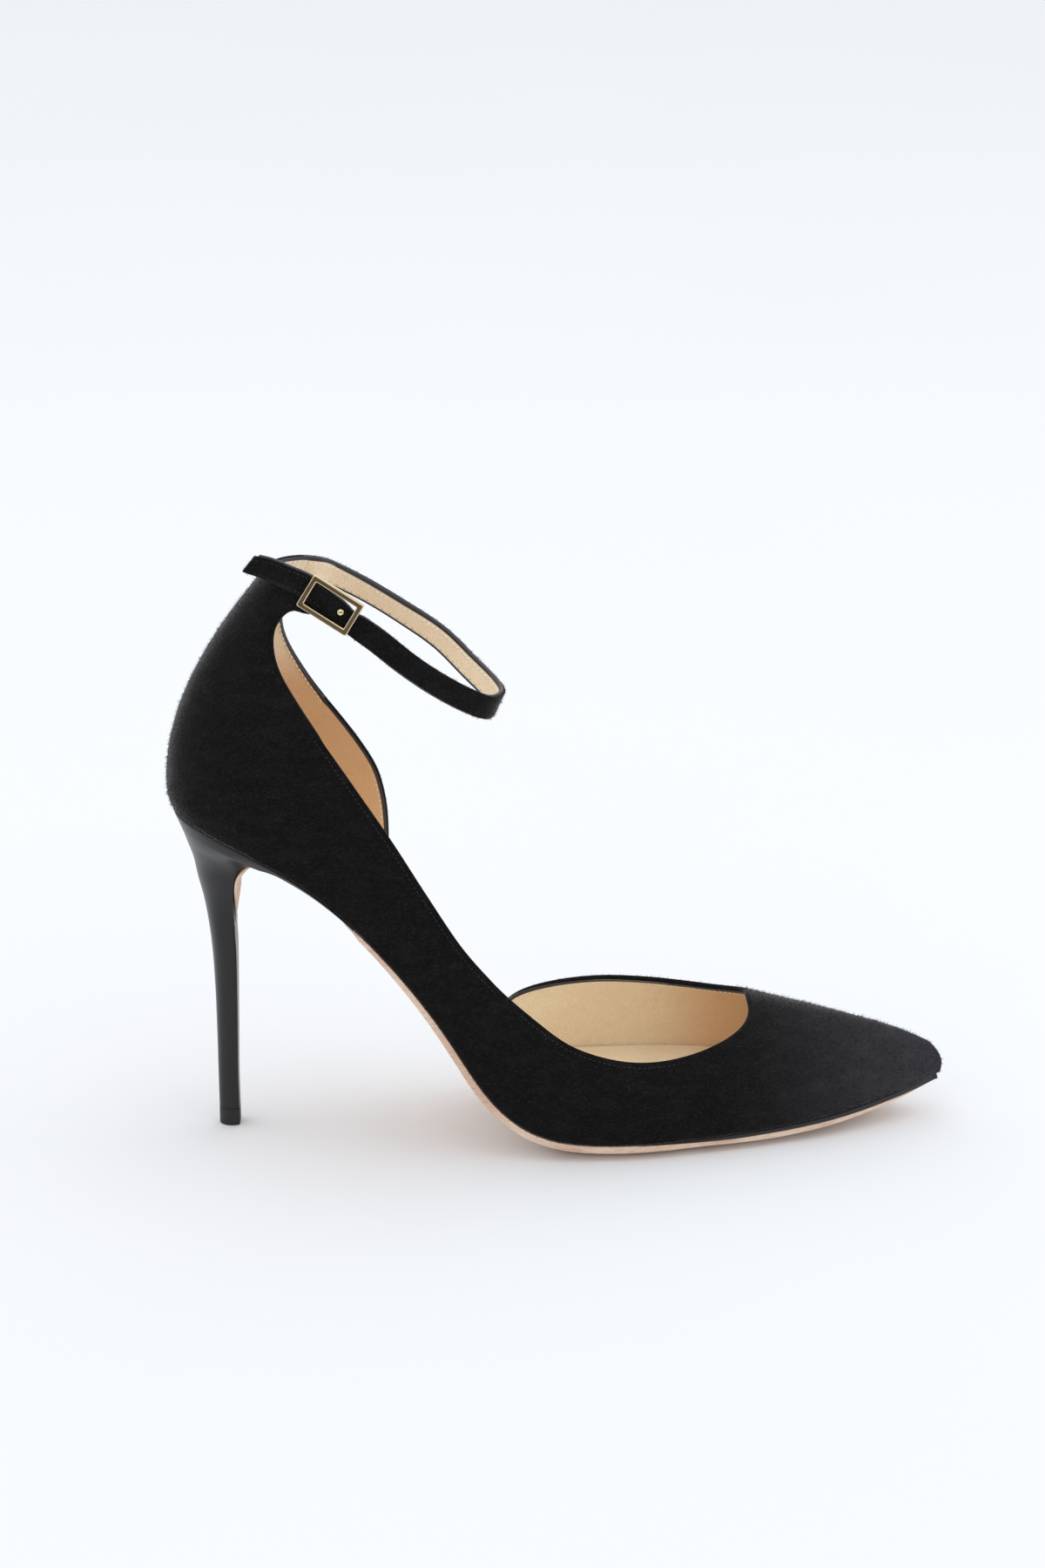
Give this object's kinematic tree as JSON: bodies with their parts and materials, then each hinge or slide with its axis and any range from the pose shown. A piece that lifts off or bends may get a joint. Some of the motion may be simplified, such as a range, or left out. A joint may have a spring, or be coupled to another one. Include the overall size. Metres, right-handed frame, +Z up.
{
  "type": "high-heeled pump",
  "caption": "Pointed suede pump for the right foot, with an open inner side, a slim high heel and a buckled ankle strap.",
  "frame": {"origin": "middle of the shoe's bounding box in plan, on the floor that the heel tip and the forefoot stand on", "axes": "+X towards the toe, +Y towards the inner side of the foot, +Z up"},
  "size_m": [0.2286, 0.0668, 0.1822],
  "materials": {
    "suede": "black suede outside, natural leather inside",
    "lining_leather": "smooth natural leather sock",
    "sole_leather": "blush leather with a black line round its edge",
    "heel_lacquer": "black satin lacquer",
    "heel_rubber": "hard black rubber",
    "strap_suede": "black suede with a natural leather back",
    "buckle_metal": "polished pale gold plating",
    "stud_metal": "polished pale gold plating"
  },
  "bodies": {
    "root": {"upper": "suede", "insole": "lining_leather", "outsole": "sole_leather", "heel": "heel_lacquer", "heel_tip": "heel_rubber", "ankle_strap": "strap_suede", "buckle_frame": "buckle_metal", "buckle_stud": "stud_metal"}
  },
  "joints": []
}
